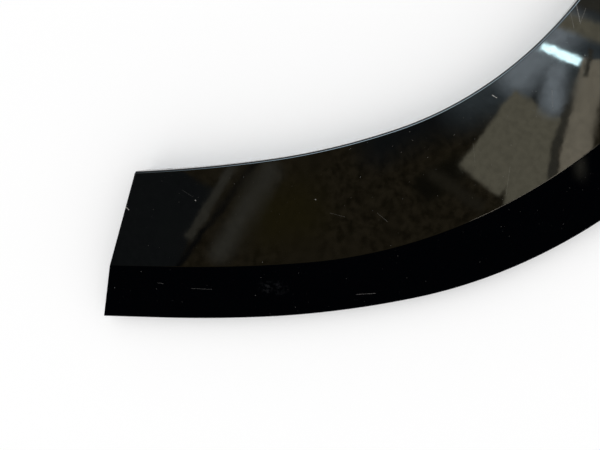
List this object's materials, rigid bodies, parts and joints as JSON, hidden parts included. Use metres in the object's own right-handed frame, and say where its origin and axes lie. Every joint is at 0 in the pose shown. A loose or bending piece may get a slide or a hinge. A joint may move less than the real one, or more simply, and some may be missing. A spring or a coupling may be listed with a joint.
{
  "type": "wheel arch trim",
  "caption": "Gloss black moulded wheel arch trim with a wide face, a sloping outer band, a return flange, push-in clips and locating pins.",
  "frame": {"origin": "bottom centre of the bounding box, on the surface that the trim lies on", "axes": "+Z away from the car's side, +Y up to the crown of the arch, X along the car"},
  "size_m": [1.2152, 0.6868, 0.042],
  "materials": {
    "gloss_black": "high gloss black face, plain moulded back",
    "clip_plastic": "natural nylon",
    "seal_rubber": "soft closed-cell foam"
  },
  "bodies": {
    "root": {"arch_moulding": "gloss_black", "body_clips": "clip_plastic", "clip_seals": "seal_rubber"}
  },
  "joints": []
}
